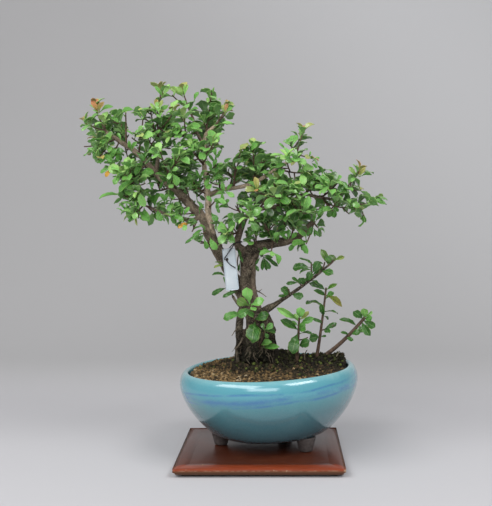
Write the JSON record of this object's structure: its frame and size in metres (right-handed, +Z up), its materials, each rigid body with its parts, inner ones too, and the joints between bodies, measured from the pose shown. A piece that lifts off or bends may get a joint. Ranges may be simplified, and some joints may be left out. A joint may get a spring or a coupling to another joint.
{
  "type": "flowering quince bonsai in a bowl",
  "caption": "Leafy flowering quince bonsai with two leaning trunks, growing in a round glazed tripod bowl on a lacquered display board.",
  "frame": {"origin": "underside of the display board, below the middle of the bowl", "axes": "+Z up the trunk, -Y towards the side that the tree shows, +X to the right as seen from there"},
  "size_m": [0.3728, 0.2235, 0.4445],
  "materials": {
    "board_lacquer": "lacquered",
    "glaze": "glossy",
    "screen_plastic": "matte",
    "soil": "rough granules",
    "bark": "rough bark",
    "leaf": "satin",
    "tag_plastic": "satin",
    "wire": "satin"
  },
  "bodies": {
    "root": {"board": "board_lacquer", "pot": "glaze", "drain_screen": "screen_plastic", "soil": "soil", "trunk": "bark", "label_tag": "tag_plastic", "label_wire": "wire", "spray_left_tip": "leaf", "spray_left_end": "leaf", "spray_left_arch": "leaf", "spray_left_rise": "leaf", "spray_left_under": "leaf", "spray_left_hang": "leaf", "spray_left_rear": "leaf", "spray_left_back": "leaf", "spray_left_heart": "leaf", "spray_left_core": "leaf", "spray_left_shade": "leaf", "spray_left_low": "leaf", "spray_shoot_end": "leaf", "spray_upright_side": "leaf", "spray_upright_top": "leaf", "spray_top_left": "leaf", "spray_top_low": "leaf", "spray_top_mid": "leaf", "spray_top_right": "leaf", "spray_top_lean": "leaf", "spray_pale_front": "leaf", "spray_pale_right": "leaf", "spray_bridge_tip": "leaf", "spray_bridge_low": "leaf", "spray_bridge_rise": "leaf", "spray_bridge_bud": "leaf", "spray_bridge_rear": "leaf", "spray_middle_tip": "leaf", "spray_middle_left": "leaf", "spray_middle_front": "leaf", "spray_middle_low": "leaf", "spray_right_one": "leaf", "spray_right_two": "leaf", "spray_right_three": "leaf", "spray_right_four": "leaf", "spray_right_top": "leaf", "spray_right_end": "leaf", "spray_right_under": "leaf", "spray_right_rear": "leaf", "spray_right_back": "leaf", "spray_elbow_tip": "leaf", "spray_elbow_rise": "leaf", "spray_elbow_front": "leaf", "spray_low_tip": "leaf", "spray_low_mid": "leaf", "spray_low_root": "leaf", "shoot_front": "leaf", "shoot_front_low": "leaf", "shoot_left": "leaf", "shoot_stone": "leaf", "shoot_tall": "leaf", "shoot_slanted": "leaf"}
  },
  "joints": []
}
